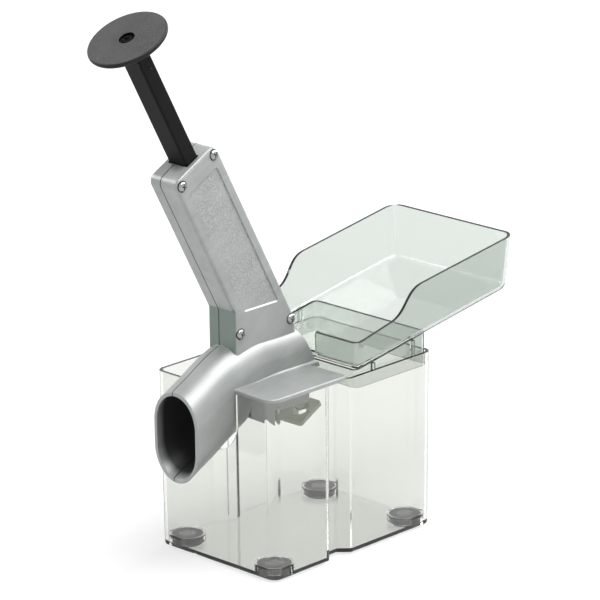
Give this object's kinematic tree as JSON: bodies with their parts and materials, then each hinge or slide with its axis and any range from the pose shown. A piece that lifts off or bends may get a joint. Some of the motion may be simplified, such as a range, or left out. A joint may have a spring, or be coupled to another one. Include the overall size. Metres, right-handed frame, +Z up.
{
  "type": "plunger cherry pitter",
  "caption": "Cherry pitter with a leaning push plunger in a cast tower over a clear stone container, with an oval chute and a sloping clear feed tray.",
  "frame": {"origin": "on the floor under the feet's soles, at the middle of the part's footprint in X and Y", "axes": "+X runs along the container from the chute to the tray, +Y across it away from the screwed front face, +Z up"},
  "size_m": [0.2723, 0.0946, 0.3193],
  "materials": {
    "clear_plastic": "clear moulded plastic with a slight grey green tint",
    "cast_aluminium": "satin cast aluminium, lightly tumbled",
    "black_plastic": "satin black moulded plastic",
    "bright_steel": "bright plated steel",
    "dark_steel": "blackened steel",
    "stainless": "brushed stainless steel",
    "foot_rubber": "dark grey rubber",
    "seat_elastomer": "translucent beige green elastomer"
  },
  "bodies": {
    "base": {"container": "clear_plastic", "foot_front_left": "foot_rubber", "foot_front_right": "foot_rubber", "foot_rear_left": "foot_rubber", "foot_rear_right": "foot_rubber"},
    "head": {"housing_front": "cast_aluminium", "housing_rear": "cast_aluminium", "housing_screws": "bright_steel", "seat_insert": "seat_elastomer", "seat_clamp": "stainless", "seat_screws": "bright_steel", "stripper_plate": "stainless", "spring_washer": "stainless", "return_spring": "stainless"},
    "plunger": {"thumb_plate": "black_plastic", "thumb_screw": "dark_steel", "plunger_bar": "black_plastic", "crosshead": "black_plastic", "cross_pin": "stainless", "pitting_pin": "stainless", "lock_pin": "stainless"},
    "tray": {"cherry_tray": "clear_plastic"}
  },
  "joints": [
    {"name": "head_lift", "type": "slide", "parent": "base", "child": "head", "axis": [0, 0, 1], "range_m": [0, 0.115]},
    {"name": "tray_lift", "type": "slide", "parent": "head", "child": "tray", "axis": [0, 0, 1], "range_m": [0, 0.05]},
    {"name": "plunger_slide", "type": "slide", "parent": "head", "child": "plunger", "axis": [0.4695, 0, -0.8829], "range_m": [0, 0.065], "stiffness_N_per_m": 300, "springref_m": -0.02, "deforming": ["return_spring"]}
  ]
}
